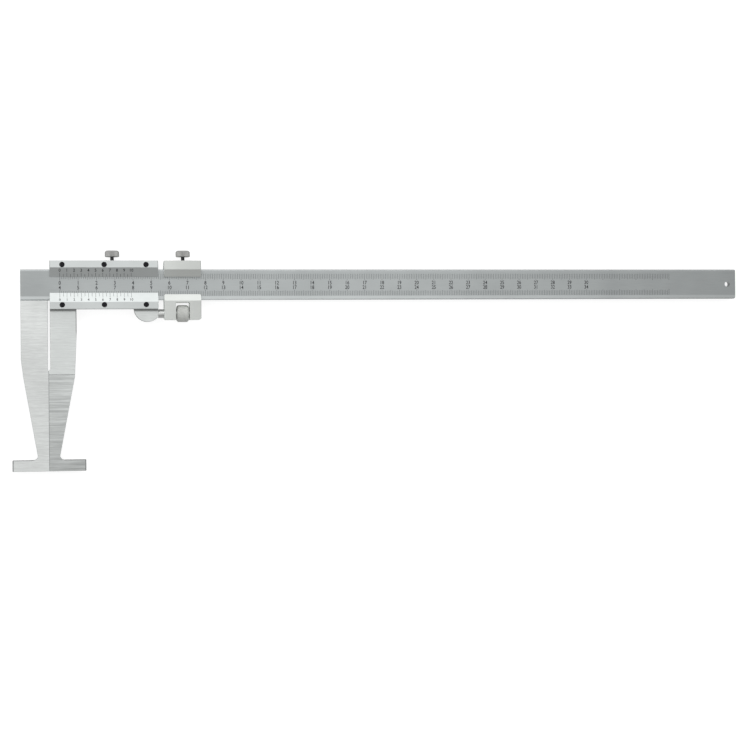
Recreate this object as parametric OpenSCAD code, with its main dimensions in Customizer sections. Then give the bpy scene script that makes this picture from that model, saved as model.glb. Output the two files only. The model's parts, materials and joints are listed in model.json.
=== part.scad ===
// Brake drum caliper: a vernier caliper with long jaws whose feet point outwards.
// It lies on its back. X runs along the beam, Y up across it, Z out of the scale face.
// Inside the modules x = 0 is the plane where the closed jaws meet, y = 0 the beam's
// mid-line and z = 0 the table. The last step moves the middle of the base to the origin.

/* [Beam] */
// Height of the beam across its scale face
beam_w = 17; // [15:0.5:22]
// Thickness of the beam
beam_t = 4; // [3.4:0.1:6]
// Length of the beam from end to end
beam_len = 412; // [300:1:620]
// Chamfer on the beam's long edges
beam_edge = 0.5; // [0.2:0.05:0.9]
// Diameter of the hole that the caliper hangs by
hang_hole_d = 3.2; // [2:0.1:5]
// Distance of the hanging hole from the end of the beam
hang_hole_inset = 4.9; // [4:0.1:12]
// Radius of the lower corner at the end of the beam
low_corner_r = 1; // [0.6:0.1:3]
// Radius of the upper corner at the end of the beam
high_corner_r = 0.6; // [0.3:0.1:3]

/* [Jaws] */
// Depth of the jaws below the beam
jaw_depth = 93.9; // [80:0.5:160]
// Reach of each foot from the plane where the jaws meet
foot_reach = 20; // [18:0.5:30]
// Height of the feet
foot_h = 6.2; // [4.5:0.1:9]
// Radius of the measuring end of each foot
foot_end_r = 3.5; // [3.2:0.1:8]
// Fillet between a jaw and its foot
toe_fillet_r = 2.2; // [1:0.1:3]
// Depth that the fillet's round cuts past the edges it joins
toe_fillet_bite = 0.01; // [0.01:0.01:0.05]
// Clearance of the fixed jaw from the meeting plane at the beam
fixed_relief_high = 0.1; // [0.05:0.05:0.6]
// Clearance of the fixed jaw from the meeting plane over the measuring faces
fixed_relief_low = 0.5; // [0.2:0.05:1]
// Clearance of the moving jaw and the slider from the meeting plane
moving_relief = 0.9; // [0.4:0.05:1.5]
// Depth below the beam at which the clearances end
relief_depth = 38.8; // [20:0.5:60]
// Depth below the beam of the step in the front of the moving jaw
step_depth = 40.8; // [39.5:0.1:60]
// Height of the step
step_t = 0.25; // [0.1:0.05:0.6]
// Width of the fixed jaw at the beam
fixed_root_w = 14.95; // [12:0.05:20]
// Length of the parallel part of the fixed jaw
fixed_straight = 32.5; // [20:0.5:40]
// Width of the fixed jaw at its knee
fixed_knee_w = 13.7; // [10:0.1:18]
// Depth of the fixed jaw's knee below the beam
fixed_knee_depth = 42.7; // [41:0.5:60]
// Width of the fixed jaw at its foot
fixed_toe_w = 5.9; // [5:0.1:9]
// Width of the moving jaw at the slider
moving_root_w = 15.35; // [12:0.05:20]
// Length of the parallel part of the moving jaw
moving_straight = 18; // [8:0.5:40]
// Width of the moving jaw at its knee
moving_knee_w = 14.2; // [10:0.1:18]
// Depth of the moving jaw's knee below the beam
moving_knee_depth = 42; // [41:0.5:60]
// Width of the moving jaw at its foot
moving_toe_w = 5.4; // [5:0.1:9]

/* [Joint of jaw and beam] */
// Thickness of the fixed jaw's tongue behind the beam
lap_t = 2; // [1.2:0.1:2.4]
// Height of beam left above the tongue
lap_margin = 2; // [1:0.1:4]
// Diameter of the rivets' shanks
rivet_d = 2.4; // [1.6:0.1:3]
// Diameter of the rivets' sunk heads
rivet_head_d = 3.6; // [3.2:0.1:4.5]
// Gap between the tongue's end and the meeting plane
tongue_gap = 0.5; // [0.2:0.05:1]
// Depth of the rivets' sunk heads
rivet_head_t = 0.7; // [0.3:0.1:1]
// Depth that the rivets go into the beam
rivet_bite = 1.2; // [0.6:0.1:1.3]
// Distance of the rivets from the edges of the tongue
rivet_inset = 3.4; // [2.6:0.1:4.5]

/* [Slider] */
// Length of the slider
slider_len = 59.3; // [48:0.1:90]
// Reach of the slider past each edge of the beam
rail_reach = 4.8; // [4.4:0.1:8]
// Thickness of the back plate
back_t = 2.8; // [2:0.1:5]
// Thickness of the vernier plates
strip_t = 2.4; // [2:0.1:4]
// Width of the flat on the vernier plates
strip_flat = 3.8; // [3.7:0.1:5]
// Half the height of the window between the vernier plates
window_half = 4.4; // [3:0.1:5.5]
// Thickness of the vernier plates' thin edges
thin_edge = 0.25; // [0.15:0.05:0.6]
// Chamfer at the ends of the slider and the clamp
end_chamfer = 0.3; // [0.2:0.05:1]
// Radius of the half-round thumb rest
thumb_r = 7.6; // [6.6:0.1:9]
// Distance of the thumb rest's centre from the slider's end
thumb_inset = 5.85; // [4:0.05:8]
// Height of the thumb rest's centre over the slider's lower edge
thumb_lift = 0.4; // [0:0.1:1.5]

/* [Gib strips] */
// Thickness of the gib strips
gib_t = 0.7; // [0.4:0.05:1]
// Distance of the gib strips' ends from the ends of the slider and the clamp
gib_inset = 1.5; // [0.5:0.1:4]
// Diameter of the gib screws
gib_screw_d = 2; // [1.4:0.1:2.5]
// Distance of the gib screws from the ends of the slider
gib_screw_inset = 14.7; // [12:0.1:18]

/* [Vernier screws] */
// Distance of the first screw from the left end of the slider
screw_first = 6.8; // [4:0.1:9]
// Distance of the last screw from the right end of the slider
screw_last = 6.7; // [4:0.1:9]
// Distance of the screws from the slider's edges
screw_inset = 2.25; // [2.1:0.05:2.4]
// Diameter of the screw heads
screw_head_d = 2.9; // [2.4:0.1:3.2]
// Height of the screw heads
screw_head_t = 1.3; // [0.8:0.1:1.6]
// Diameter of the screw shanks
screw_d = 2; // [1.4:0.1:2.2]
// Width of the screwdriver slots
slot_w = 0.5; // [0.3:0.05:0.7]
// Depth of the screwdriver slots
slot_t = 0.5; // [0.2:0.05:0.7]

/* [Clamp] */
// Length of the clamp
clamp_len = 20.4; // [18:0.2:30]
// Gap between the slider and the clamp
clamp_gap = 3.25; // [3:0.05:8]
// Depth of the clamp below the beam
clamp_drop = 11; // [10.4:0.1:16]
// Width of the flat on the clamp's upper lip
clamp_flat = 4.9; // [4:0.1:6]
// Distance of the lower lip's edge from the mid-line
clamp_window_low = 5.3; // [4:0.1:6]
// Thickness of the edges of the clamp's lips
clamp_lip_t = 0.9; // [0.25:0.05:1.6]
// Width of the bevel on the clamp's lower lip
clamp_bevel_low = 3.6; // [2:0.1:4.5]
// Chamfer on the corners of the clamp's outline
clamp_corner = 0.8; // [0.2:0.1:1.2]

/* [Fine adjustment] */
// Distance of the stud's axis below the beam
stud_drop = 7.5; // [7:0.1:9]
// Diameter of the stud's thread
stud_d = 5; // [3:0.1:5]
// Length of the stud outside the slider
stud_len = 20.5; // [18:0.1:21]
// Diameter of the spigot that holds the stud in the thumb rest
spigot_d = 2.4; // [1.6:0.1:2.5]
// Length of the spigot
spigot_len = 8; // [4:0.1:9]
// Diameter of the adjusting nut
nut_d = 9.5; // [8:0.1:9.6]
// Width of the adjusting nut
nut_w = 6.6; // [5:0.1:8]
// Chamfer on the adjusting nut
nut_chamfer = 0.8; // [0.3:0.1:1.2]
// Number of ridges round the adjusting nut
nut_ridges = 40; // [24:1:60]
// Gap at each side of the nut in its slot
nut_side_gap = 0.55; // [0.2:0.05:1]
// Open height over the nut in its slot
nut_headroom = 1.3; // [0.6:0.1:1.5]

/* [Lock screws] */
// Distance of the lock screw from the middle of the slider, towards the clamp
lock_offset = 4.5; // [3.5:0.05:5]
// Distance of the clamp's lock screw from the middle of the clamp
clamp_lock_offset = 0.4; // [-2:0.1:2]
// Diameter of the lock screws' thread
lock_d = 2.5; // [1.6:0.1:3]
// Diameter of the necks under the knobs
neck_d = 2; // [1.2:0.1:2.4]
// Length of neck that shows under a knob
neck_len = 2.2; // [1:0.1:4]
// Depth that a neck goes into its knob
neck_bite = 2; // [1:0.1:3]
// Diameter of the knobs
knob_d = 7.9; // [6:0.1:9]
// Height of the knobs
knob_h = 3.4; // [3:0.1:6]
// Chamfer on the outer edge of the knobs
knob_chamfer = 0.7; // [0.2:0.1:1.2]
// Chamfer on the inner edge of the knobs
knob_low_chamfer = 0.3; // [0.25:0.05:0.6]
// Number of ridges round a knob
knob_ridges = 34; // [20:1:50]
// Depth of the ridges on the knobs and the nut
ridge_t = 0.22; // [0.1:0.02:0.4]

/* [Clearances] */
// Clearance of the sliding faces
slide_gap = 0.05; // [0.03:0.01:0.1]
// Clearance round the fixed screws and rivets
fastener_gap = 0.04; // [0.02:0.01:0.1]
// Running clearance of a screw in its thread
thread_gap = 0.06; // [0.03:0.01:0.1]
// Clearance between the tip of a screw and its gib strip
tip_gap = 0.15; // [0.1:0.05:0.4]
// Depth of the screws' faces below the surfaces round them
sink_gap = 0.12; // [0.05:0.01:0.4]
// Fine gap between the closed measuring faces
light_gap = 0.02; // [0.01:0.01:0.1]

/* [Hidden] */
$fn = 72;
// How far every cut runs past the face it opens
over = 0.5 * back_t;
// Places along Z, from the table up
beam_z0 = back_t + slide_gap;
rail_t = beam_t + 2 * slide_gap;
strip_z0 = back_t + rail_t;
top_z = strip_z0 + strip_t;
mid_z = back_t + rail_t / 2;
// Places along Y, from the beam's mid-line
beam_y = beam_w / 2;
guide_y = beam_y + slide_gap;
gib_y1 = guide_y + gib_t;
rail_y0 = gib_y1 + slide_gap;
slider_y = beam_y + rail_reach;
screw_y = slider_y - screw_inset;
stud_y = -(beam_y + stud_drop);
clamp_y0 = -(beam_y + clamp_drop);
foot_y0 = -(beam_y + jaw_depth);
foot_y1 = foot_y0 + foot_h;
lap_y1 = beam_y - lap_margin;
// Places along X, from the plane where the jaws meet
beam_x0 = -fixed_root_w;
beam_x1 = beam_x0 + beam_len;
slider_x0 = moving_relief;
tongue_x1 = -tongue_gap;
slider_x1 = slider_x0 + slider_len;
clamp_x0 = slider_x1 + clamp_gap;
clamp_x1 = clamp_x0 + clamp_len;
clamp_mid_x = (clamp_x0 + clamp_x1) / 2;
screw_x0 = slider_x0 + screw_first;
screw_x1 = slider_x1 - screw_last;
screw_places = [screw_x0, (screw_x0 + screw_x1) / 2, screw_x1];
gib_screw_places = [slider_x0 + gib_screw_inset, slider_x1 - gib_screw_inset];
slider_lock_x = (slider_x0 + slider_x1) / 2 + lock_offset;
clamp_lock_x = clamp_mid_x + clamp_lock_offset;
// Middle of the whole caliper's base
middle_x = (beam_x1 - foot_reach) / 2;
middle_y = (slider_y + neck_len + knob_h + foot_y0) / 2;

// A profile of points [y, z], drawn out along X
module along_x(x0, x1) {
  translate([x0, 0, 0]) rotate([90, 0, 90]) linear_extrude(x1 - x0) children();
}

// A profile of points [x, z], drawn out along Y
module along_y(y0, y1) {
  translate([0, y1, 0]) rotate([90, 0, 0]) linear_extrude(y1 - y0) children();
}

// A rectangle with its four corners cut off
module cut_rectangle(a0, a1, b0, b1, c) {
  polygon([
    [a0 + c, b0], [a1 - c, b0], [a1, b0 + c], [a1, b1 - c],
    [a1 - c, b1], [a0 + c, b1], [a0, b1 - c], [a0, b0 + c]
  ]);
}

// What is left of a stack between two ends, with the front edges of the ends chamfered
module between_ends(x0, x1, z0, z1) {
  c = end_chamfer;
  intersection() {
    children();
    along_y(foot_y0 - over, slider_y + over)
      polygon([[x0, z0], [x1, z0], [x1, z1 - c], [x1 - c, z1], [x0 + c, z1], [x0, z1 - c]]);
  }
}

// A round bar along Y, from the height y0 to y1
module bar_y(d, y0, y1) {
  translate([0, y0, mid_z]) rotate([-90, 0, 0]) cylinder(d = d, h = y1 - y0);
}

// A round block along Z with chamfered ends and fine ridges round it
module ridged_block(d, h, low_chamfer, high_chamfer, ridges) {
  r = d / 2;
  wide_r = r + ridge_t;
  half_step = 180 / ridges;
  intersection() {
    rotate_extrude()
      polygon([
        [0, 0], [r - low_chamfer, 0], [wide_r, low_chamfer + ridge_t],
        [wide_r, h - high_chamfer - ridge_t], [r - high_chamfer, h], [0, h]
      ]);
    rotate([0, 0, half_step / 3])
      linear_extrude(h)
        polygon([
          for (i = [0:2 * ridges - 1])
            (r - (i % 2) * ridge_t) * [cos(half_step * i), sin(half_step * i)]
        ]);
  }
}

// The corner at [x, y] of an end that faces +X, taken off to the radius r
module round_corner(x, y, r, side) {
  difference() {
    translate([x - r, side > 0 ? y - r : y - over, beam_z0 - over])
      cube([r + over, r + over, beam_t + 2 * over]);
    translate([x - r, y - side * r, beam_z0 - 2 * over])
      cylinder(r = r, h = beam_t + 4 * over);
  }
}

// The places of the four rivets in the tongue
module at_rivets() {
  for (x = [beam_x0 + rivet_inset, tongue_x1 - rivet_inset])
    for (y = [rivet_inset - beam_y, lap_y1 - rivet_inset])
      translate([x, y, beam_z0]) children();
}

// One rivet, or its hole when wider is more than zero
module rivet(wider, longer) {
  cylinder(d = rivet_d + 2 * wider, h = lap_t + rivet_bite + longer);
  cylinder(
    d1 = rivet_head_d + 2 * wider,
    d2 = rivet_d + 2 * wider,
    h = rivet_head_t
  );
}

module beam() {
  color("silver")
    difference() {
      along_x(beam_x0, beam_x1)
        cut_rectangle(-beam_y, beam_y, beam_z0, beam_z0 + beam_t, beam_edge);
      translate([beam_x0 - over, -beam_y - over, beam_z0 - over])
        cube([over + tongue_x1 - beam_x0, over + beam_y + lap_y1, over + lap_t]);
      at_rivets() rivet(fastener_gap, fastener_gap);
      translate([beam_x1 - hang_hole_inset, 0, beam_z0 - over])
        cylinder(d = hang_hole_d, h = beam_t + 2 * over);
      round_corner(beam_x1, -beam_y, low_corner_r, -1);
      round_corner(beam_x1, beam_y, high_corner_r, 1);
    }
}

// One jaw with its foot towards +X, as a plate from z0 to z0 + t
module jaw(root_w, straight, knee_w, knee_depth, toe_w, high_relief, low_relief, z0, t) {
  face = light_gap / 2;
  relief_y = -(beam_y + relief_depth);
  knee_y = -(beam_y + knee_depth);
  lean = atan2(knee_w - toe_w, knee_y - foot_y1);
  reach = toe_fillet_r / tan((90 - lean) / 2);
  tangent = [toe_w + reach * sin(lean), foot_y1 + reach * cos(lean)];
  difference() {
    union() {
      translate([0, 0, z0])
        linear_extrude(t)
          polygon([
            [high_relief, -beam_y], [root_w, -beam_y], [root_w, -beam_y - straight],
            [knee_w, knee_y], [toe_w, foot_y1], [foot_reach, foot_y1],
            [foot_reach, foot_y0], [face, foot_y0], [face, relief_y],
            [low_relief, relief_y + low_relief - face]
          ]);
      difference() {
        translate([0, 0, z0])
          linear_extrude(t)
            polygon([
              [toe_w / 2, foot_y1 - foot_h / 2], [toe_w + reach, foot_y1 - foot_h / 2],
              [toe_w + reach, foot_y1 + toe_fillet_r], tangent, [toe_w / 2, tangent[1]]
            ]);
        translate([toe_w + reach, foot_y1 + toe_fillet_r, z0 - over])
          cylinder(r = toe_fillet_r + toe_fillet_bite, h = t + 2 * over);
      }
    }
    difference() {
      translate([foot_reach - foot_end_r, foot_y0 - over, z0 - over])
        cube([foot_end_r + over, foot_h + 2 * over, t + 2 * over]);
      translate([foot_reach - foot_end_r, foot_y0 - 2 * over, z0 + t / 2])
        rotate([-90, 0, 0]) cylinder(r = foot_end_r, h = foot_h + 4 * over);
    }
  }
}

module fixed_jaw() {
  color("gainsboro")
    difference() {
      union() {
        mirror([1, 0, 0])
          jaw(
            fixed_root_w, fixed_straight, fixed_knee_w, fixed_knee_depth, fixed_toe_w,
            fixed_relief_high, fixed_relief_low, beam_z0, beam_t
          );
        translate([beam_x0, -beam_y - over, beam_z0])
          cube([tongue_x1 - beam_x0, over + beam_y + lap_y1, lap_t]);
      }
      at_rivets() rivet(fastener_gap, fastener_gap);
    }
}

module jaw_rivets() {
  color("darkgray") at_rivets() rivet(0, 0);
}

// The places of the vernier screws on one side, above or below the beam
module at_screws(side) {
  for (x = screw_places)
    translate([x, side * screw_y, 0]) children();
}

// The holes of the vernier screws on one side, through every layer
module screw_holes(side) {
  at_screws(side) {
    translate([0, 0, -over]) cylinder(d = screw_d + 2 * fastener_gap, h = top_z + 2 * over);
    translate([0, 0, top_z - screw_head_t - sink_gap])
      cylinder(d = screw_head_d + 2 * fastener_gap, h = screw_head_t + sink_gap + over);
  }
}

module slider_back_plate() {
  color("lightgray")
    difference() {
      along_x(slider_x0, slider_x1)
        cut_rectangle(-slider_y, slider_y, 0, back_t, beam_edge);
      screw_holes(-1);
      screw_holes(1);
    }
}

module upper_rail() {
  color("lightgray")
    difference() {
      translate([slider_x0, rail_y0, back_t])
        cube([slider_len, slider_y - rail_y0, rail_t]);
      screw_holes(1);
      translate([slider_lock_x, 0, 0])
        bar_y(lock_d + 2 * thread_gap, rail_y0 - over, slider_y + over);
      for (x = gib_screw_places)
        translate([x, 0, 0])
          bar_y(gib_screw_d + 2 * thread_gap, rail_y0 - over, slider_y + over);
    }
}

module moving_jaw() {
  thumb_x = slider_x1 - thumb_inset;
  thumb_y = thumb_lift - slider_y;
  color("gainsboro")
    difference() {
      union() {
        difference() {
          jaw(
            moving_root_w, moving_straight, moving_knee_w, moving_knee_depth, moving_toe_w,
            moving_relief, moving_relief, back_t, rail_t
          );
          translate([0, -guide_y, back_t - over])
            cube([moving_root_w + over, guide_y, rail_t + 2 * over]);
          translate([-over, foot_y0 - over, strip_z0 - step_t])
            cube([foot_reach + 2 * over, jaw_depth - step_depth + over, step_t + over]);
        }
        translate([slider_x0, -slider_y, back_t])
          cube([slider_len, slider_y - guide_y, rail_t]);
        intersection() {
          translate([thumb_x, thumb_y, back_t]) cylinder(r = thumb_r, h = rail_t);
          translate([thumb_x - thumb_r, thumb_y - thumb_r, back_t])
            cube([thumb_r + thumb_inset, thumb_r - thumb_lift + slider_y - guide_y, rail_t]);
        }
      }
      screw_holes(-1);
      translate([slider_x1 - spigot_len, stud_y, mid_z])
        rotate([0, 90, 0]) cylinder(d = spigot_d + 2 * fastener_gap, h = spigot_len + over);
    }
}

// A vernier plate over the upper edge of the beam
module vernier_plate() {
  between_ends(slider_x0, slider_x1, strip_z0, top_z)
    along_x(slider_x0, slider_x1)
      polygon([
        [window_half, strip_z0], [slider_y, strip_z0], [slider_y, top_z],
        [slider_y - strip_flat, top_z], [window_half, strip_z0 + thin_edge]
      ]);
}

module upper_vernier() {
  color("lightgray")
    difference() {
      vernier_plate();
      screw_holes(1);
    }
}

module lower_vernier() {
  color("whitesmoke")
    difference() {
      mirror([0, 1, 0]) vernier_plate();
      screw_holes(-1);
    }
}

// One slotted screw, from its head at top_z down into the back plate
module vernier_screw() {
  head_z1 = top_z - sink_gap;
  difference() {
    union() {
      translate([0, 0, sink_gap]) cylinder(d = screw_d, h = head_z1 - sink_gap);
      translate([0, 0, head_z1 - screw_head_t]) cylinder(d = screw_head_d, h = screw_head_t);
    }
    translate([-slot_w / 2, -screw_head_d, head_z1 - slot_t])
      cube([slot_w, 2 * screw_head_d, slot_t + over]);
  }
}

module vernier_screws() {
  color("dimgray") {
    at_screws(-1) vernier_screw();
    at_screws(1) vernier_screw();
  }
}

// A gib strip between the beam's upper edge and the rail over it
module gib_strip(x0, x1) {
  translate([x0 + gib_inset, guide_y, beam_z0])
    cube([x1 - x0 - 2 * gib_inset, gib_t, beam_t]);
}

module slider_gib() {
  color("darkkhaki") gib_strip(slider_x0, slider_x1);
}

module gib_screws() {
  color("dimgray")
    for (x = gib_screw_places)
      translate([x, 0, 0])
        difference() {
          bar_y(gib_screw_d, gib_y1 + tip_gap, slider_y - sink_gap);
          translate([-gib_screw_d, slider_y - sink_gap - slot_t, mid_z - slot_w / 2])
            cube([2 * gib_screw_d, slot_t + over, slot_w]);
        }
}

module adjust_stud() {
  tip = stud_d / 8;
  color("darkgray")
    translate([slider_x1, stud_y, mid_z])
      rotate([0, 90, 0]) {
        translate([0, 0, -spigot_len]) cylinder(d = spigot_d, h = spigot_len + tip);
        cylinder(d = stud_d, h = stud_len - tip);
        translate([0, 0, stud_len - tip])
          cylinder(d1 = stud_d, d2 = stud_d - 2 * tip, h = tip);
      }
}

// A lock screw without its knob: the thread in the rail, then the neck
module lock_stem(x) {
  translate([x, 0, 0]) {
    bar_y(lock_d, gib_y1 + tip_gap, slider_y);
    bar_y(neck_d, slider_y - neck_d, slider_y + neck_len + neck_bite);
  }
}

module lock_knob(x) {
  translate([x, slider_y + neck_len, mid_z])
    rotate([-90, 0, 0])
      difference() {
        ridged_block(knob_d, knob_h, knob_low_chamfer, knob_chamfer, knob_ridges);
        translate([0, 0, -over])
          cylinder(d = neck_d + 2 * fastener_gap, h = neck_bite + fastener_gap + over);
      }
}

module slider_lock_stem() {
  color("dimgray") lock_stem(slider_lock_x);
}

module slider_lock_knob() {
  color("darkgray") lock_knob(slider_lock_x);
}

module clamp_lock_stem() {
  color("dimgray") lock_stem(clamp_lock_x);
}

module clamp_lock_knob() {
  color("darkgray") lock_knob(clamp_lock_x);
}

// The clamp's section: a back and two lips round the beam, and a deep lower side
module clamp_section() {
  polygon([
    [clamp_y0, 0], [slider_y, 0], [slider_y, top_z],
    [slider_y - clamp_flat, top_z], [window_half, strip_z0 + clamp_lip_t],
    [window_half, strip_z0], [rail_y0, strip_z0], [rail_y0, back_t],
    [-guide_y, back_t], [-guide_y, strip_z0],
    [-clamp_window_low, strip_z0], [-clamp_window_low, strip_z0 + clamp_lip_t],
    [-clamp_window_low - clamp_bevel_low, top_z], [clamp_y0, top_z]
  ]);
}

// The clamp's outline from the front, with its lower corners cut off
module clamp_outline() {
  c = clamp_corner;
  linear_extrude(top_z)
    polygon([
      [clamp_x0 + c, clamp_y0], [clamp_x1 - c, clamp_y0], [clamp_x1, clamp_y0 + c],
      [clamp_x1, slider_y], [clamp_x0, slider_y], [clamp_x0, clamp_y0 + c]
    ]);
}

// The corners of the lower lip's edge, cut off at both ends
module lip_corners() {
  c = clamp_corner;
  for (x = [clamp_x0, clamp_x1])
    translate([x, -clamp_window_low, strip_z0])
      rotate([0, 0, 45]) translate([-c / 2, -c / 2, 0]) cube([c, c, strip_t + over]);
}

module clamp_body() {
  slot_y1 = stud_y + nut_d / 2 + nut_headroom;
  slot_len = nut_w + 2 * nut_side_gap;
  color("lightgray")
    difference() {
      intersection() {
        between_ends(clamp_x0, clamp_x1, 0, top_z)
          along_x(clamp_x0, clamp_x1) clamp_section();
        clamp_outline();
      }
      lip_corners();
      translate([clamp_mid_x - slot_len / 2, clamp_y0 - over, -over])
        cube([slot_len, slot_y1 - clamp_y0 + over, top_z + 2 * over]);
      translate([clamp_x0 - over, stud_y, mid_z])
        rotate([0, 90, 0]) cylinder(d = stud_d + 2 * thread_gap, h = clamp_len + 2 * over);
      translate([clamp_lock_x, 0, 0])
        bar_y(lock_d + 2 * thread_gap, rail_y0 - over, slider_y + over);
    }
}

module clamp_gib() {
  color("darkkhaki") gib_strip(clamp_x0, clamp_x1);
}

module adjust_nut() {
  color("silver")
    translate([clamp_mid_x - nut_w / 2, stud_y, mid_z])
      rotate([0, 90, 0])
        difference() {
          ridged_block(nut_d, nut_w, nut_chamfer, nut_chamfer, nut_ridges);
          translate([0, 0, -over])
            cylinder(d = stud_d + 2 * thread_gap, h = nut_w + 2 * over);
        }
}

// Moves the middle of the base to the origin
module placed() {
  translate([-middle_x, -middle_y, 0]) children();
}

placed() beam();
placed() fixed_jaw();
placed() jaw_rivets();
placed() slider_back_plate();
placed() upper_rail();
placed() moving_jaw();
placed() upper_vernier();
placed() lower_vernier();
placed() vernier_screws();
placed() slider_gib();
placed() gib_screws();
placed() adjust_stud();
placed() slider_lock_stem();
placed() slider_lock_knob();
placed() clamp_body();
placed() clamp_gib();
placed() clamp_lock_stem();
placed() clamp_lock_knob();
placed() adjust_nut();
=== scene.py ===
"""Looks of the brake drum caliper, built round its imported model."""
import json
import math

import bmesh
import bpy
from mathutils import Matrix, Vector


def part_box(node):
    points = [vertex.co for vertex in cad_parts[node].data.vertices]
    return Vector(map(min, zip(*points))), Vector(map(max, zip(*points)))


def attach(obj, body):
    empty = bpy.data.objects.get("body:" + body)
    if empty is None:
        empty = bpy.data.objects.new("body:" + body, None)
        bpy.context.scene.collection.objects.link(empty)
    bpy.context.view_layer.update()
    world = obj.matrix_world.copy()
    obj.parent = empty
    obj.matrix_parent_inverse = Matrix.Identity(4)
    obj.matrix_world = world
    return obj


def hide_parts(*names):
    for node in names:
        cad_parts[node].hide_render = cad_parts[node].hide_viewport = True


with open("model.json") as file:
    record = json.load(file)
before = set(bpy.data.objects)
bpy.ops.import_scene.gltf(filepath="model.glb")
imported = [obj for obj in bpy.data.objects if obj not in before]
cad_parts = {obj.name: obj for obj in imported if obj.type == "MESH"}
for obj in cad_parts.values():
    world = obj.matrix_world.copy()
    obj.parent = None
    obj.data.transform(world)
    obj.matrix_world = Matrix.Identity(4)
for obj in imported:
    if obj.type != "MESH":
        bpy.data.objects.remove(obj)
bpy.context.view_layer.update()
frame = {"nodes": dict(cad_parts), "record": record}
nodes = frame["nodes"]

MM = 0.001

# Where the scales and plates lie, in millimetres
RULE_ZERO = 6.41        # mark 4 of the rule, from the plane where the jaws meet
FIRST_CM = 4
LAST_CM = 39
LAST_LABEL = 34
VERNIER_ZERO = 5.51     # first mark of the vernier, from the slider's left end
VERNIER_STEP = 1.95
VERNIER_STEPS = 20
STRIP_FLAT = 3.8        # width of the flat on the vernier plates
THIN_EDGE = 0.25
SCALE_LOW = 6.35        # reach of the beam's matt scale below the mid-line
SCALE_HIGH = 7.6        # its reach above the mid-line
GRIND_LINE = 40.8       # depth below the beam where the moving jaw's coarse grinding starts
JAW_ROOT = 15.35        # width of the moving jaw at the slider
FOOT_H = 6.2            # height of the feet
FOOT_FROM = 8.2         # distance of a foot's straight edge from the plane where the jaws meet
FOOT_SHADE_W = 0.32            # width of the painted shade lines along the feet's upper edges
ROOT_SHADE_W = 0.448      # width of the painted shade line along the moving jaw's right edge
ROOT_SHADE_END = 19.0          # depth below the beam where that painted shade line ends
SHADE_LINE_OVER = 0.1          # how far the painted shade lines reach past the edges they follow
SHADOW_BAND_FROM = 13.2        # painted shadow of the slider's lower edge on the moving jaw and thumb rest, from the mid-line
SHADOW_BAND_TO = 14.6
SHADOW_BAND_SOFT = 0.3
KNEE = 40.0             # depth below the beam where the fixed jaw's painted shade is darkest
SHOULDER = 10.0         # depth below the beam above which the fixed jaw's painted shade is even
THUMB_FROM = 40.0       # distance of the thumb rest from the plane where the jaws meet
WINDOW = (-5.0, 20.0)   # where the beam turns brighter under the slider, from that plane
RIMS_FROM = 196.0       # where painted shade starts to darken its polished rims
CHAMFER_FROM = 90.0     # where painted shade starts to darken its chamfers
SCALE_SHADE_FROM = 215.0       # where painted shade starts to darken its scale
CLAMP_X = (66.0, 83.0)  # ends of the clamp
HALF_WINDOW = 5.0       # reach of the change from lower to upper plate, past the mid-line
INK_HEIGHT = 0.008      # how far the etched marks stand on the surface
INK_DEPTH = 0.004
THREAD_PITCH = 0.5
THREAD_DEPTH = 0.15

# Finish and painted light and shade: brightness against a piece's own colour, and roughness
MATT = 0.64             # roughness of ground and chromed faces
COARSE = 0.62           # roughness of the moving jaw below the grinding line
RIM_ROUGH = 0.5
CHAMFER_ROUGH = 0.25
SIDE_PAINTED_SHADE = 0.42       # brightness of the painted shade on the jaws' side walls
# brightness of the painted shadow under the slider's lower edge
SHADOW_BAND_SHADE = 0.42
LOW_CHAMFER_LIGHT = 1.6       # brightness of the painted light on the beam's lower chamfer against the upper one
CLAMP_WALL_LIGHT = 1.5        # brightness of the painted light on the clamp's lower and left walls

beam_lo, beam_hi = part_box("beam")
plate_lo, plate_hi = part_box("upper_vernier")
jaw_lo, jaw_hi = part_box("fixed_jaw")
mid_y = (beam_lo.y + beam_hi.y) / 2
meet_x = jaw_hi.x
face_z = beam_hi.z
across = (mid_y - HALF_WINDOW * MM, mid_y + HALF_WINDOW * MM)


# ---- Node graphs ----

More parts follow.
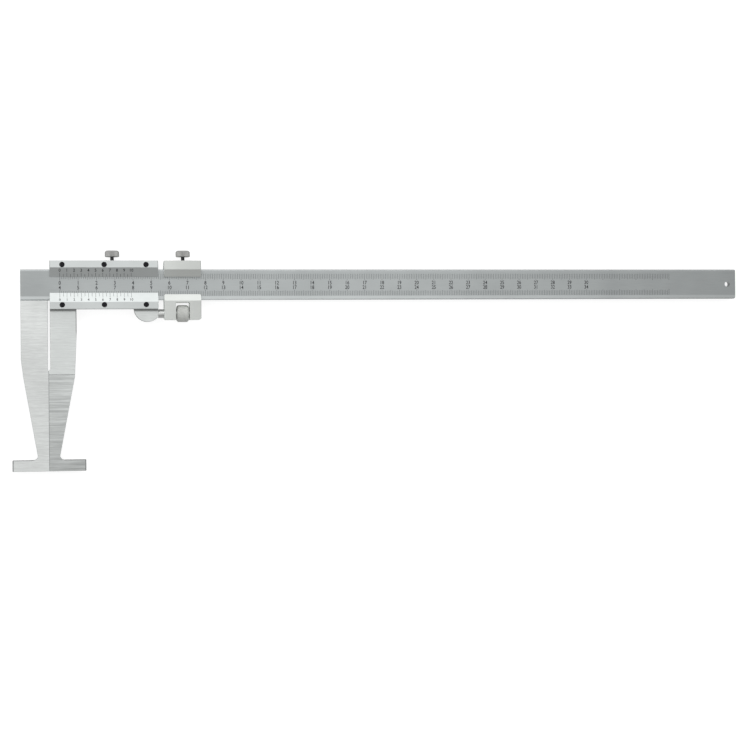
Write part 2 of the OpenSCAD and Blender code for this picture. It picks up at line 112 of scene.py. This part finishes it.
class Graph:
    """A material's node tree, with short calls for the nodes used here."""

    def __init__(self, name):
        self.material = bpy.data.materials.new(name)
        self.material.use_nodes = True
        self.tree = self.material.node_tree
        self.tree.nodes.clear()
        self.output = self.tree.nodes.new("ShaderNodeOutputMaterial")
        self.shader = self.tree.nodes.new("ShaderNodeBsdfPrincipled")
        self.tree.links.new(self.shader.outputs["BSDF"], self.output.inputs["Surface"])
        self.place = self.tree.nodes.new("ShaderNodeTexCoord").outputs["Object"]

    def link(self, source, socket):
        self.tree.links.new(source, socket)

    def put(self, socket, value):
        if isinstance(value, bpy.types.NodeSocket):
            self.link(value, socket)
        else:
            socket.default_value = value

    def math(self, operation, a, b=0.0, clamp=False):
        node = self.tree.nodes.new("ShaderNodeMath")
        node.operation = operation
        node.use_clamp = clamp
        self.put(node.inputs[0], a)
        self.put(node.inputs[1], b)
        return node.outputs[0]

    def noise(self, size_mm, detail=2.0, roughness=0.5, offset=(0, 0, 0)):
        """Noise whose features measure size_mm = (x, y, z)."""
        mapping = self.tree.nodes.new("ShaderNodeMapping")
        mapping.inputs["Scale"].default_value = [1 / (MM * s) for s in size_mm]
        mapping.inputs["Location"].default_value = offset
        self.link(self.place, mapping.inputs["Vector"])
        node = self.tree.nodes.new("ShaderNodeTexNoise")
        node.inputs["Scale"].default_value = 1.0
        node.inputs["Detail"].default_value = detail
        node.inputs["Roughness"].default_value = roughness
        self.link(mapping.outputs["Vector"], node.inputs["Vector"])
        return node.outputs["Fac"]

    def spread(self, value, low, high, source=(0.3, 0.7)):
        """value, from the range source to the range low to high."""
        node = self.tree.nodes.new("ShaderNodeMapRange")
        self.put(node.inputs["Value"], value)
        node.inputs["From Min"].default_value = source[0]
        node.inputs["From Max"].default_value = source[1]
        self.put(node.inputs["To Min"], low)
        self.put(node.inputs["To Max"], high)
        return node.outputs["Result"]

    def axis(self, index):
        """One coordinate of the surface point, in the row frame, in metres."""
        node = self.tree.nodes.new("ShaderNodeSeparateXYZ")
        self.link(self.place, node.inputs[0])
        return node.outputs[index]

    def facing(self, index):
        """One coordinate of the true normal, in the object's frame."""
        geometry = self.tree.nodes.new("ShaderNodeTexCoord")
        node = self.tree.nodes.new("ShaderNodeSeparateXYZ")
        self.link(geometry.outputs["Normal"], node.inputs[0])
        return node.outputs[index]

    def mix(self, factor, a, b):
        node = self.tree.nodes.new("ShaderNodeMix")
        self.put(node.inputs[0], factor)
        self.put(node.inputs[2], a)
        self.put(node.inputs[3], b)
        return node.outputs[0]

    def tint(self, colour, brightness):
        """colour times a brightness that varies over the surface."""
        node = self.tree.nodes.new("ShaderNodeVectorMath")
        node.operation = "SCALE"
        node.inputs[0].default_value = colour
        self.put(node.inputs["Scale"], brightness)
        return node.outputs[0]

    def bump(self, height, depth_mm, strength=1.0):
        node = self.tree.nodes.new("ShaderNodeBump")
        node.inputs["Distance"].default_value = depth_mm * MM
        node.inputs["Strength"].default_value = strength
        self.link(height, node.inputs["Height"])
        self.link(node.outputs["Normal"], self.shader.inputs["Normal"])


def steel(name, colour, rough, streak=(14.0, 0.35), streak_axis=0, contrast=0.05,
          mottle=0.04, groove_mm=0.0006, zones=None):
    """Ground or chromed steel with fine streaks along one axis, faint clouding and a fine grain.

    zones(graph) may give (share, brightness, roughness) of a second finish, or of painted light
    and shade, on part of it."""
    g = Graph(name)
    size = [streak[1]] * 3
    size[streak_axis] = streak[0]
    lines = g.noise(size, detail=4.0, roughness=0.65)
    fine = g.noise([s * 0.3 for s in size], detail=2.0, offset=(3.1, 1.7, 5.3))
    cloud = g.noise((22.0, 22.0, 22.0), detail=2.0, offset=(7.7, 2.9, 1.3))
    grain = g.noise((0.12, 0.12, 0.12), detail=1.0)
    light = g.math("MULTIPLY", g.spread(lines, 1 - contrast, 1 + contrast),
                   g.spread(cloud, 1 - mottle, 1 + mottle))
    light = g.math("MULTIPLY", light, g.spread(fine, 1 - 0.5 * contrast, 1 + 0.5 * contrast))
    roughness = g.spread(lines, rough * 0.9, rough * 1.12)
    if zones:
        share, brightness, second_rough = zones(g)
        light = g.math("MULTIPLY", light, g.mix(share, 1.0, brightness))
        roughness = g.mix(share, roughness,
                          g.math("MULTIPLY", g.spread(lines, 0.9, 1.1), second_rough))
    g.link(g.tint(colour, light), g.shader.inputs["Base Color"])
    g.link(roughness, g.shader.inputs["Roughness"])
    g.shader.inputs["Metallic"].default_value = 1.0
    height = g.math("ADD", fine, g.math("MULTIPLY", grain, 0.6))
    g.bump(height, groove_mm)
    return g.material


def step_mask(g, value, edge, width=0.00005):
    """0 below edge and 1 above it."""
    return g.spread(value, 0.0, 1.0, source=(edge - width, edge + width))


def upward(g):
    """1 on faces that look up, 0 on walls and on the back."""
    return step_mask(g, g.facing(2), 0.5, 0.1)


def walls(g, flatness, soft):
    """1 on faces that stand or slope, 0 on faces that look straight up or down."""
    return g.math("SUBTRACT", 1.0,
                  step_mask(g, g.math("ABSOLUTE", g.facing(2)), flatness, soft))


def beam_zones(g):
    """The polished rims, sides and back of the beam round its matt scale, with painted light
    and shade along and across it.
    """
    along = g.axis(0)
    off_mid = g.math("SUBTRACT", g.axis(1), mid_y)
    high = step_mask(g, off_mid, SCALE_HIGH * MM)
    low = g.math("SUBTRACT", 1.0, step_mask(g, off_mid, -SCALE_LOW * MM))
    side = walls(g, 0.9, 0.02)
    rim = g.math("MAXIMUM", g.math("MAXIMUM", high, low),
                 g.math("MAXIMUM", side, g.math("SUBTRACT", 1.0, upward(g))))
    # the rims are brighter than the scale, and painted shade darkens them towards the right end
    rim_tone_and_shade = g.spread(along, 1.20, 0.86, source=(meet_x + RIMS_FROM * MM, beam_hi.x))
    # painted shade on the chamfers towards the right end, and painted light on the lower chamfer
    chamfer = g.math("MULTIPLY",
                     g.spread(along, 1.3, 0.7, source=(meet_x + CHAMFER_FROM * MM, beam_hi.x)),
                     g.mix(step_mask(g, g.facing(1), -0.3, 0.1), LOW_CHAMFER_LIGHT, 1.0))
    # the scale turns brighter under the slider, and painted shade darkens it towards the right
    # end
    scale_tone_and_shade = g.math("MULTIPLY",
                  g.spread(along, 0.97, 1.1, source=[meet_x + x * MM for x in WINDOW]),
                  g.spread(along, 1.0, 0.70, source=(meet_x + SCALE_SHADE_FROM * MM, beam_hi.x)))
    finish = g.mix(rim, scale_tone_and_shade, g.mix(side, rim_tone_and_shade, chamfer))
    return 1.0, finish, g.mix(rim, MATT, g.mix(side, RIM_ROUGH, CHAMFER_ROUGH))


def bevels(g, lowest):
    """1 on sloping faces whose normal still reaches up by lowest or more."""
    sloped = g.math("SUBTRACT", 1.0, step_mask(g, g.facing(2), 0.97, 0.01))
    return g.math("MULTIPLY", sloped, step_mask(g, g.facing(2), lowest, 0.02))


def vernier_zones(g):
    """The bevels of the vernier plates, painted light on the lower one and painted shade on the
    upper one, and their flats.
    """
    # painted light and shade on the bevels, by how they face the light
    bevel = g.spread(g.axis(1), 1.12, 0.70, source=across)
    flat = g.spread(g.axis(1), 0.92, 0.99, source=across)
    return 1.0, g.mix(bevels(g, 0.6), flat, bevel), MATT


def clamp_zones(g):
    """The clamp's two bevels, painted light on the lower one and painted shade on the upper one,
    painted light on its lower and left walls, and flats that darken a little to the right."""
    # painted light on the lower bevel and painted shade on the upper one, by how they face the
    # light
    bevel = g.spread(g.axis(1), 1.11, 0.82, source=across)
    flat = g.math("MULTIPLY", g.spread(g.axis(1), 0.93, 0.98, source=across),
                  g.spread(g.axis(0), 1.0, 0.92, source=[meet_x + x * MM for x in CLAMP_X]))
    # painted light on the walls that face left and down
    painted_lit_wall = g.math("SUBTRACT", 1.0, g.math("MULTIPLY", step_mask(g, g.facing(0), -0.6, 0.1),
                                          step_mask(g, g.facing(1), -0.8, 0.1)))
    return 1.0, g.mix(painted_lit_wall, g.mix(bevels(g, 0.85), flat, bevel), CLAMP_WALL_LIGHT), MATT


def jaw_sides(g):
    """The side walls of a jaw, told by their normal, which get painted shade."""
    return walls(g, 0.5, 0.1)


def within(g, value, low, high, soft_low=0.00005):
    """1 between low and high, 0 outside."""
    return g.math("MULTIPLY", step_mask(g, value, low, soft_low),
                  g.math("SUBTRACT", 1.0, step_mask(g, value, high)))


def foot_rim(g, side):
    """A painted shade line along a foot's upper edge, from its fillet to its end."""
    out = g.math("MULTIPLY", g.math("SUBTRACT", g.axis(0), meet_x), side)
    top = jaw_lo.y + FOOT_H * MM
    along = g.math("MULTIPLY", step_mask(g, out, FOOT_FROM * MM), upward(g))
    return g.math("MULTIPLY", along,
                  within(g, g.axis(1), top - FOOT_SHADE_W * MM, top + SHADE_LINE_OVER * MM))


def fixed_jaw_zones(g):
    """Painted shade on the fixed jaw's side walls, along its foot's rim and varying down the jaw.
    """
    dark = g.math("MAXIMUM", jaw_sides(g), foot_rim(g, -1))
    knee = beam_lo.y - KNEE * MM
    shoulder = beam_lo.y - SHOULDER * MM
    # painted shade that varies down the fixed jaw, darkest at the knee
    shade = g.math("MULTIPLY", g.spread(g.axis(1), 0.985, 0.945, source=(jaw_lo.y, knee)),
                   g.spread(g.axis(1), 1.0, 1.085, source=(knee, shoulder)))
    return 1.0, g.mix(dark, shade, SIDE_PAINTED_SHADE), MATT


def moving_jaw_zones(g):
    """The coarser, darker grinding on the moving jaw below the grinding line, painted shade on
    its sides, a painted shade line down its right edge and a painted shadow under the slider."""
    grind = beam_lo.y - GRIND_LINE * MM
    lines = g.noise((30.0, 0.7, 0.7), detail=4.0, roughness=0.6, offset=(1.3, 4.1, 2.2))
    below = g.math("SUBTRACT", 1.0, step_mask(g, g.axis(1), grind))
    fade = g.spread(g.axis(1), 0.69, 0.87, source=(jaw_lo.y, grind))
    coarse = g.math("MULTIPLY", fade, g.spread(lines, 0.72, 1.28))
    root = meet_x + JAW_ROOT * MM
    # painted shade line down the moving jaw's right edge, where its side wall is in shade
    rim = g.math("MULTIPLY", within(g, g.axis(0), root - ROOT_SHADE_W * MM, root + SHADE_LINE_OVER * MM),
                 step_mask(g, g.axis(1), beam_lo.y - ROOT_SHADE_END * MM, 0.002))
    rim = g.math("MULTIPLY", rim, upward(g))
    # painted shadow: a band just under the slider's lower edge, on the moving jaw and thumb rest
    painted_shadow = within(g, g.axis(1), mid_y - SHADOW_BAND_TO * MM, mid_y - SHADOW_BAND_FROM * MM, SHADOW_BAND_SOFT * MM)
    painted_shadow = g.math("MULTIPLY", painted_shadow, upward(g))
    dark = g.math("MAXIMUM", g.math("MAXIMUM", jaw_sides(g), rim), foot_rim(g, 1))
    thumb = step_mask(g, g.axis(0), meet_x + THUMB_FROM * MM)
    share = g.math("MAXIMUM", g.math("MAXIMUM", below, dark),
                   g.math("MAXIMUM", thumb, painted_shadow))
    face = g.mix(painted_shadow, g.mix(thumb, coarse, 1.0), SHADOW_BAND_SHADE)
    return share, g.mix(dark, face, SIDE_PAINTED_SHADE), COARSE


# Each finish: name, colour, roughness, length and width of its streaks, contrast of them
materials = {
    "beam_steel": steel("beam_chrome", (0.410, 0.430, 0.430), MATT, streak=(9.0, 0.3),
                        contrast=0.03, zones=beam_zones),
    "fixed_jaw_steel": steel("fixed_jaw_ground", (0.672, 0.687, 0.678), MATT,
                             streak=(12.0, 0.8), contrast=0.12, zones=fixed_jaw_zones),
    "moving_jaw_steel": steel("moving_jaw_ground", (0.640, 0.660, 0.651), MATT,
                              streak=(14.0, 0.8), contrast=0.1, zones=moving_jaw_zones),
    "slider_steel": steel("slider_chrome", (0.640, 0.665, 0.660), MATT, streak=(12.0, 0.35),
                          contrast=0.04, zones=vernier_zones),
    "clamp_steel": steel("clamp_chrome", (0.647, 0.665, 0.645), MATT, streak=(5.0, 0.3),
                         contrast=0.04, zones=clamp_zones),
    "black_screws": steel("screw_black", (0.020, 0.020, 0.022), 0.45, streak=(1.0, 0.2),
                          contrast=0.2),
    "rivet_steel": steel("rivet_ground", (0.45, 0.46, 0.46), 0.4, streak=(8.0, 0.25)),
    "spring_bronze": steel("gib_bronze", (0.55, 0.42, 0.22), 0.4, streak=(6.0, 0.2)),
    "stud_steel": steel("stud_bright", (0.60, 0.61, 0.60), 0.3, streak=(2.0, 0.2)),
    "dark_steel": steel("dark_oxide", (0.05, 0.05, 0.052), 0.45, streak=(1.5, 0.2),
                        contrast=0.15),
    "knob_nickel": steel("knob_nickel", (0.42, 0.42, 0.41), 0.45, streak=(0.3, 2.0),
                         contrast=0.12),
    "nut_nickel": steel("nut_nickel", (0.65, 0.66, 0.64), 0.78, streak=(2.0, 0.3),
                        contrast=0.12),
    "worn_edge": steel("worn_edge", (0.55, 0.57, 0.57), 0.55, streak=(3.0, 0.3)),
    # painted shade on the moving jaw's broken edges
    "edge_painted_shade": steel("edge_painted_shade", (0.42, 0.43, 0.43), 0.55, streak=(3.0, 0.3)),
}

SLOT_OF = {s["node"]: s["material_slot"] for s in frame["record"]["subparts"]}
FINISH = {"fixed_jaw": "fixed_jaw_steel", "moving_jaw": "moving_jaw_steel"}

# Width in millimetres of the broken edges of each node
EDGES = {
    "beam": 0.12, "fixed_jaw": 0.15, "moving_jaw": 0.12, "slider_back_plate": 0.15,
    "upper_rail": 0.08, "upper_vernier": 0.06, "lower_vernier": 0.06, "clamp_body": 0.1,
    "vernier_screws": 0.06, "gib_screws": 0.06, "slider_lock_stem": 0.05,
    "clamp_lock_stem": 0.05, "jaw_rivets": 0.03, "slider_gib": 0.05, "clamp_gib": 0.05,
}

# Finish of the broken edges where it differs from the faces; on the moving jaw it is painted
# shade
WORN = {"beam": "worn_edge", "fixed_jaw": "worn_edge", "moving_jaw": "edge_painted_shade",
        "slider_back_plate": "worn_edge"}


def break_edges(obj, width_mm):
    """Rounds the sharp edges of a CAD node a little, as a file leaves them.

    The moving jaw has edges 0.01 mm long, to which the overlap clamp would cut every bevel."""
    weld = obj.modifiers.new("weld", "WELD")
    weld.merge_threshold = 1e-6
    flats = obj.modifiers.new("flats", "DECIMATE")
    flats.decimate_type = "DISSOLVE"
    flats.angle_limit = math.radians(0.3)
    bevel = obj.modifiers.new("edges", "BEVEL")
    bevel.width = width_mm * MM
    bevel.segments = 2
    bevel.limit_method = "ANGLE"
    bevel.angle_limit = math.radians(15)
    bevel.use_clamp_overlap = not obj.name.endswith("_jaw")
    bevel.material = len(obj.data.materials) - 1
    bevel.harden_normals = True
    shade = obj.modifiers.new("shade", "WEIGHTED_NORMAL")
    shade.weight = 100
    shade.keep_sharp = False


for name, obj in nodes.items():
    obj.data.materials.clear()
    obj.data.materials.append(materials[FINISH.get(name, SLOT_OF[name])])
    if name in WORN:
        obj.data.materials.append(materials[WORN[name]])
    if name in EDGES:
        break_edges(obj, EDGES[name])


# ---- Etched scales ----

def plane(x, y, z, slope=0.0):
    """A frame on a face that looks up: x along the beam, y across it, tilted about x by slope."""
    return Matrix.Translation((x, y, z)) @ Matrix.Rotation(slope, 4, "X")


CAP_SHARE = 0.72        # height of a figure against the font's size
BOLDER = 0.022          # how far figures swell on each side, as a share of their height


class Marks:
    """Thin raised marks that ride together as one piece."""

    def __init__(self):
        self.bm = bmesh.new()
        self.curve = bpy.data.curves.new("label", "FONT")
        self.curve.align_x = "CENTER"
        self.curve.align_y = "CENTER"
        self.curve.resolution_u = 3
        self.curve.extrude = (INK_HEIGHT + INK_DEPTH) / 2 * MM
        self.label = bpy.data.objects.new("label", self.curve)
        bpy.context.scene.collection.objects.link(self.label)

    def line(self, where, x, y0, y1, width):
        """A straight mark across the beam at x, from y0 to y1, all in millimetres."""
        corners = []
        for z in (-INK_DEPTH, INK_HEIGHT):
            for dx, y in ((-1, y0), (1, y0), (1, y1), (-1, y1)):
                point = where @ Vector(((x + dx * width / 2) * MM, y * MM, z * MM))
                corners.append(self.bm.verts.new(point))
        for face in ((3, 2, 1, 0), (4, 5, 6, 7), (0, 1, 5, 4), (1, 2, 6, 5),
                     (2, 3, 7, 6), (3, 0, 4, 7)):
            self.bm.faces.new([corners[i] for i in face])

    def word(self, where, text, x, y, height, stretch=1.0):
        """A number centred at (x, y), all in millimetres."""
        self.curve.body = text
        self.curve.size = height / CAP_SHARE * MM
        self.curve.offset = BOLDER * height * MM
        self.curve.space_character = 1.0
        bpy.context.view_layer.update()
        shape = self.label.evaluated_get(bpy.context.evaluated_depsgraph_get())
        mesh = bpy.data.meshes.new_from_object(shape)
        place = where @ Matrix.Translation(
            (x * MM, y * MM, (INK_HEIGHT - INK_DEPTH) / 2 * MM))
        mesh.transform(place @ Matrix.Diagonal((stretch, 1, 1, 1)))
        self.bm.from_mesh(mesh)
        bpy.data.meshes.remove(mesh)

    def finish(self, name, body, finish):
        bmesh.ops.remove_doubles(self.bm, verts=self.bm.verts, dist=2e-7)
        bmesh.ops.recalc_face_normals(self.bm, faces=self.bm.faces)
        mesh = bpy.data.meshes.new(name)
        self.bm.to_mesh(mesh)
        self.bm.free()
        bpy.data.objects.remove(self.label)
        mesh.materials.append(finish)
        obj = bpy.data.objects.new(name, mesh)
        bpy.context.scene.collection.objects.link(obj)
        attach(obj, body)
        return obj


etched = steel("etched_black", (0.055, 0.056, 0.058), 0.55, streak=(1.0, 0.1), contrast=0.2)

# The rule on the beam: millimetres above and below, two rows of numbers between them
RULE_LINE = 0.15        # width of a mark
RULE_TOP = 6.05         # outer ends of the marks from the mid-line
RULE_BOTTOM = -6.2
TOP_FROM = (2.4, 2.8, 3.2)          # inner ends at a centimetre, a half and a millimetre
BOTTOM_TO = (-2.9, -3.2, -3.5)
RULE_ROWS = (0.95, -1.65)           # middles of the two rows of numbers
RULE_FIGURE = (2.1, 0.85)           # height and stretch of a number

rule = plane(meet_x, mid_y, face_z)
marks = Marks()
for mm in range((LAST_CM - FIRST_CM) * 10 + 1):
    x = RULE_ZERO + mm
    kind = 0 if mm % 10 == 0 else 1 if mm % 5 == 0 else 2
    marks.line(rule, x, TOP_FROM[kind], RULE_TOP, RULE_LINE)
    marks.line(rule, x, RULE_BOTTOM, BOTTOM_TO[kind], RULE_LINE)
for cm in range(FIRST_CM, LAST_LABEL + 1):
    x = RULE_ZERO + (cm - FIRST_CM) * 10
    marks.word(rule, str(cm - FIRST_CM), x, RULE_ROWS[0], *RULE_FIGURE)
    marks.word(rule, str(cm), x, RULE_ROWS[1], *RULE_FIGURE)
marks.finish("rule_marks", "beam", etched)

# The verniers on the two bevels: twenty steps over 39 mm
VERNIER_REACH = (2.3, 1.6)          # length of a numbered mark and of one between
VERNIER_FROM = 0.08     # distance of the marks from the plates' thin edges
LOWER_LONGER = 0.6      # how much longer the lower plate's marks are
UPPER_LINE = 0.18       # width of a mark on each plate
LOWER_LINE = 0.14
UPPER_FIGURE = (3.75, 1.8, 0.9)     # place, height and stretch of a number on each plate
LOWER_FIGURE = (-4.2, 1.5, 0.9)

slope = math.atan2(
    plate_hi.z - plate_lo.z - THIN_EDGE * MM,
    plate_hi.y - plate_lo.y - STRIP_FLAT * MM)
window = plate_lo.y - mid_y
bevel_z = plate_lo.z + THIN_EDGE * MM
zero_x = plate_lo.x + VERNIER_ZERO * MM
upper = plane(zero_x, mid_y + window, bevel_z, slope)
lower = plane(zero_x, mid_y - window, bevel_z, -slope)
marks = Marks()
for step in range(VERNIER_STEPS + 1):
    x = step * VERNIER_STEP
    reach = VERNIER_REACH[step % 2]
    marks.line(upper, x, VERNIER_FROM, reach, UPPER_LINE)
    marks.line(lower, x, -reach - LOWER_LONGER, -VERNIER_FROM, LOWER_LINE)
    if step % 2 == 0:
        marks.word(upper, str(step // 2), x, *UPPER_FIGURE)
        marks.word(lower, str(step // 2), x, *LOWER_FIGURE)
marks.finish("vernier_marks", "slider", etched)


# ---- The threaded stud ----

def lathe(name, rings, around, radius_at, bore=0.0):
    """A closed round bar or ring along X.

    rings are distances along it, radius_at(x, turn) is its radius and bore its hole's."""
    bm = bmesh.new()

    def ring(x, radius):
        return [bm.verts.new((x * MM,
                              radius(x, k / around) * MM * math.cos(2 * math.pi * k / around),
                              radius(x, k / around) * MM * math.sin(2 * math.pi * k / around)))
                for k in range(around)]

    rows = [ring(x, radius_at) for x in rings]
    if bore:
        rows = ([ring(rings[0], lambda x, turn: bore)] + rows
                + [ring(rings[-1], lambda x, turn: bore)])
        rows.append(rows[0])
    else:
        bm.faces.new(rows[0])
        bm.faces.new(list(reversed(rows[-1])))
    for a, b in zip(rows[:-1], rows[1:]):
        for k in range(around):
            n = (k + 1) % around
            bm.faces.new((a[k], b[k], b[n], a[n]))
    bmesh.ops.recalc_face_normals(bm, faces=bm.faces)
    mesh = bpy.data.meshes.new(name)
    bm.to_mesh(mesh)
    bm.free()
    obj = bpy.data.objects.new(name, mesh)
    bpy.context.scene.collection.objects.link(obj)
    return obj


stud_lo, stud_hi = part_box("adjust_stud")
slider_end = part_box("slider_back_plate")[1].x
stud_r = (stud_hi.y - stud_lo.y) / 2 / MM
stud_len = (stud_hi.x - slider_end) / MM
SPIGOT_R = 1.2
STUD_SIDES = 30
THREAD_FADE = 0.6       # length over which the thread fades at its ends
THREAD_CREST = 1.8      # steepness of the thread, which leaves its crests flat
RING = THREAD_PITCH / 8
spigot = (slider_end - stud_lo.x) / MM


def stud_radius(x, turn):
    """The stud's radius: its spigot, then a rolled thread that fades in and out."""
    if x < 0:
        return SPIGOT_R
    wave = (x / THREAD_PITCH - turn) % 1.0
    ridge = min(1.0, THREAD_CREST * (1 - abs(2 * wave - 1)))
    end = min(1.0, x / THREAD_FADE, (stud_len - x) / THREAD_FADE + 0.2)
    return stud_r - THREAD_DEPTH * (1 - ridge * end)


rings = [-spigot, -0.001] + [i * RING for i in range(int(stud_len / RING) + 1)]
stud = lathe("stud_thread", rings, STUD_SIDES, stud_radius)
stud.location = (slider_end, (stud_lo.y + stud_hi.y) / 2, (stud_lo.z + stud_hi.z) / 2)
stud.data.materials.append(materials["stud_steel"])
for polygon in stud.data.polygons:
    polygon.use_smooth = True
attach(stud, "slider")
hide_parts("adjust_stud")


# ---- The knurled nut ----

nut_lo, nut_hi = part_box("adjust_nut")
NUT_R = 4.73
NUT_BORE = 2.56
NUT_EDGE = 0.8
KNURL_COUNT = 44
KNURL_DEPTH = 0.14
KNURL_STEPS = 6         # faces across one groove
nut_len = (nut_hi.x - nut_lo.x) / MM
knurl_pitch = 2 * math.pi * NUT_R / KNURL_COUNT


def nut_radius(x, turn):
    """The nut's radius: pyramids left between two crossing sets of grooves, chamfered ends."""
    def groove(way):
        wave = (turn * KNURL_COUNT + way * x / knurl_pitch) % 1.0
        return 1 - abs(2 * wave - 1)
    end = min(x, nut_len - x)
    limit = NUT_R - max(0.0, NUT_EDGE - end)
    return min(limit, NUT_R - KNURL_DEPTH * (1 - min(groove(1), groove(-1))))


steps = round(nut_len / (knurl_pitch / KNURL_STEPS))
nut = lathe("nut_knurl", [nut_len * i / steps for i in range(steps + 1)],
            KNURL_COUNT * KNURL_STEPS, nut_radius, bore=NUT_BORE)
nut.location = (nut_lo.x, (nut_lo.y + nut_hi.y) / 2, (nut_lo.z + nut_hi.z) / 2)
nut.data.materials.append(materials["nut_nickel"])
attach(nut, "adjust_nut")
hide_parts("adjust_nut")


# ---- Floor, light and camera ----

MIRRORED = 0.45         # least brightness of the surroundings that the metal mirrors
FLOOR_GREY = 0.3        # colour of the floor, which takes the shadow
FLOOR_GLOW = 0.83       # brings the lit floor up to white
SIDE = 6.0              # half the floor's side, in metres
FLOOR_DROP = 0.00002    # how far the floor lies under the object


def floor_material():
    """Pale floor that shows white, and keeps the shadow."""
    g = Graph("floor_white")
    tree = g.tree
    tree.nodes.remove(g.shader)
    path = tree.nodes.new("ShaderNodeLightPath")
    seen = g.math("MAXIMUM", path.outputs["Is Camera Ray"],
                  path.outputs["Is Transmission Ray"])
    mirrored = g.math("MULTIPLY", path.outputs["Is Glossy Ray"], MIRRORED)
    diffuse = tree.nodes.new("ShaderNodeBsdfDiffuse")
    diffuse.inputs["Color"].default_value = (FLOOR_GREY, FLOOR_GREY, FLOOR_GREY, 1)
    glow = tree.nodes.new("ShaderNodeEmission")
    g.put(glow.inputs["Strength"],
          g.math("MULTIPLY", g.math("MAXIMUM", seen, mirrored), FLOOR_GLOW))
    both = tree.nodes.new("ShaderNodeAddShader")
    g.link(diffuse.outputs[0], both.inputs[0])
    g.link(glow.outputs[0], both.inputs[1])
    g.link(both.outputs[0], g.output.inputs["Surface"])
    return g.material


floor_mesh = bpy.data.meshes.new("floor")
floor_mesh.from_pydata(
    [(-SIDE, -SIDE, 0), (SIDE, -SIDE, 0), (SIDE, SIDE, 0), (-SIDE, SIDE, 0)], [],
    [(0, 1, 2, 3)])
floor_mesh.materials.append(floor_material())
floor = bpy.data.objects.new("floor", floor_mesh)
floor.location.z = -FLOOR_DROP
bpy.context.scene.collection.objects.link(floor)

world = bpy.data.worlds.new("studio")
bpy.context.scene.world = world
world.use_nodes = True
sky = world.node_tree
background = sky.nodes["Background"]
background.inputs["Color"].default_value = (1.0, 1.0, 1.0, 1)
direction = sky.nodes.new("ShaderNodeTexCoord")
split = sky.nodes.new("ShaderNodeSeparateXYZ")
sky.links.new(direction.outputs["Generated"], split.inputs[0])


def sky_math(operation, a, b):
    node = sky.nodes.new("ShaderNodeMath")
    node.operation = operation
    for socket, value in zip(node.inputs, (a, b)):
        if isinstance(value, bpy.types.NodeSocket):
            sky.links.new(value, socket)
        else:
            socket.default_value = value
    return node.outputs[0]


# A tent of light, brightest high behind the object
SKY_TILT = math.radians(35)
SKY_LOW = 0.24
SKY_GAIN = 1.2
SKY_SLANT = -0.15       # the tent darkens a little to the right
lobe = sky_math("MAXIMUM", sky_math(
    "ADD", sky_math("MULTIPLY", split.outputs["Y"], math.sin(SKY_TILT)),
    sky_math("MULTIPLY", split.outputs["Z"], math.cos(SKY_TILT))), 0.0)
tent = sky_math("ADD", sky_math("MULTIPLY", lobe, SKY_GAIN), SKY_LOW)
tent = sky_math("ADD", tent, sky_math("MULTIPLY", split.outputs["X"], SKY_SLANT))
sky_path = sky.nodes.new("ShaderNodeLightPath")
seen = sky_math("MAXIMUM", sky_path.outputs["Is Camera Ray"],
                sky_path.outputs["Is Transmission Ray"])
mirrored = sky_math("MULTIPLY", sky_path.outputs["Is Glossy Ray"], MIRRORED)
shown = sky_math("MAXIMUM", tent, sky_math("MAXIMUM", seen, mirrored))
sky.links.new(shown, background.inputs["Strength"])

# A weak soft lamp in the same quarter
KEY_TILT = math.radians(35)
KEY_DISTANCE = 2.0
key_data = bpy.data.lights.new("softbox", "AREA")
key_data.shape = "SQUARE"
key_data.size = 0.35
key_data.energy = 3.5
key = bpy.data.objects.new("softbox", key_data)
key_target = Vector((-0.10, 0.02, 0.0))
key.location = key_target + KEY_DISTANCE * Vector((0, math.sin(KEY_TILT), math.cos(KEY_TILT)))
key.rotation_euler = (-KEY_TILT, 0, 0)
bpy.context.scene.collection.objects.link(key)

# The photo's camera, fitted to the marks of the rule
camera_data = bpy.data.cameras.new("camera")
camera_data.sensor_width = 36.0
camera_data.lens = 87.63
camera_data.clip_start = 0.02
camera = bpy.data.objects.new("camera", camera_data)
camera.location = (-0.184093, -0.005097, 1.005676)
camera.rotation_euler = (0.0011918, -0.1719504, -0.0093754)
bpy.context.scene.collection.objects.link(camera)
bpy.context.scene.camera = camera
bpy.context.scene.view_settings.view_transform = "Standard"
